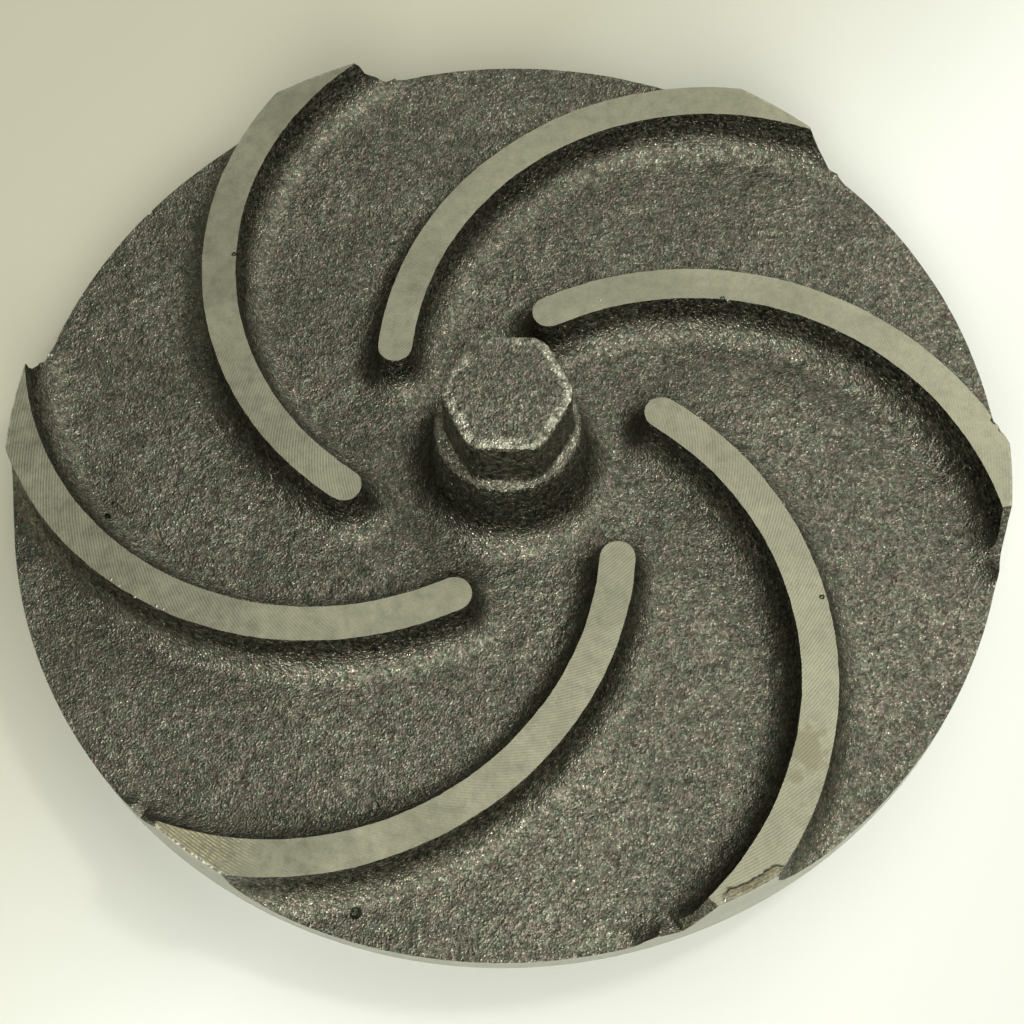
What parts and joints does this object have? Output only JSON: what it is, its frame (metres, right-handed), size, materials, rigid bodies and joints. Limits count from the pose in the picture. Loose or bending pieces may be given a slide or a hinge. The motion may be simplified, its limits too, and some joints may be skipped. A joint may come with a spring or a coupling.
{
  "type": "pump impeller",
  "caption": "Semi-open cast iron pump impeller with backward-curved vanes on a turned disc, a wrench hex on its front boss and a threaded hub at the back.",
  "frame": {"origin": "on the shaft axis, at the faced end of the rear hub", "axes": "+Z along the shaft axis towards the inlet side, where the vanes and the hex are; two flats of the hex face +Y and -Y"},
  "size_m": [0.1778, 0.1778, 0.0497],
  "materials": {
    "casting": "as-cast and slightly weathered, with turned rim and faced vane tops"
  },
  "bodies": {
    "root": {"impeller": "casting"}
  },
  "joints": []
}
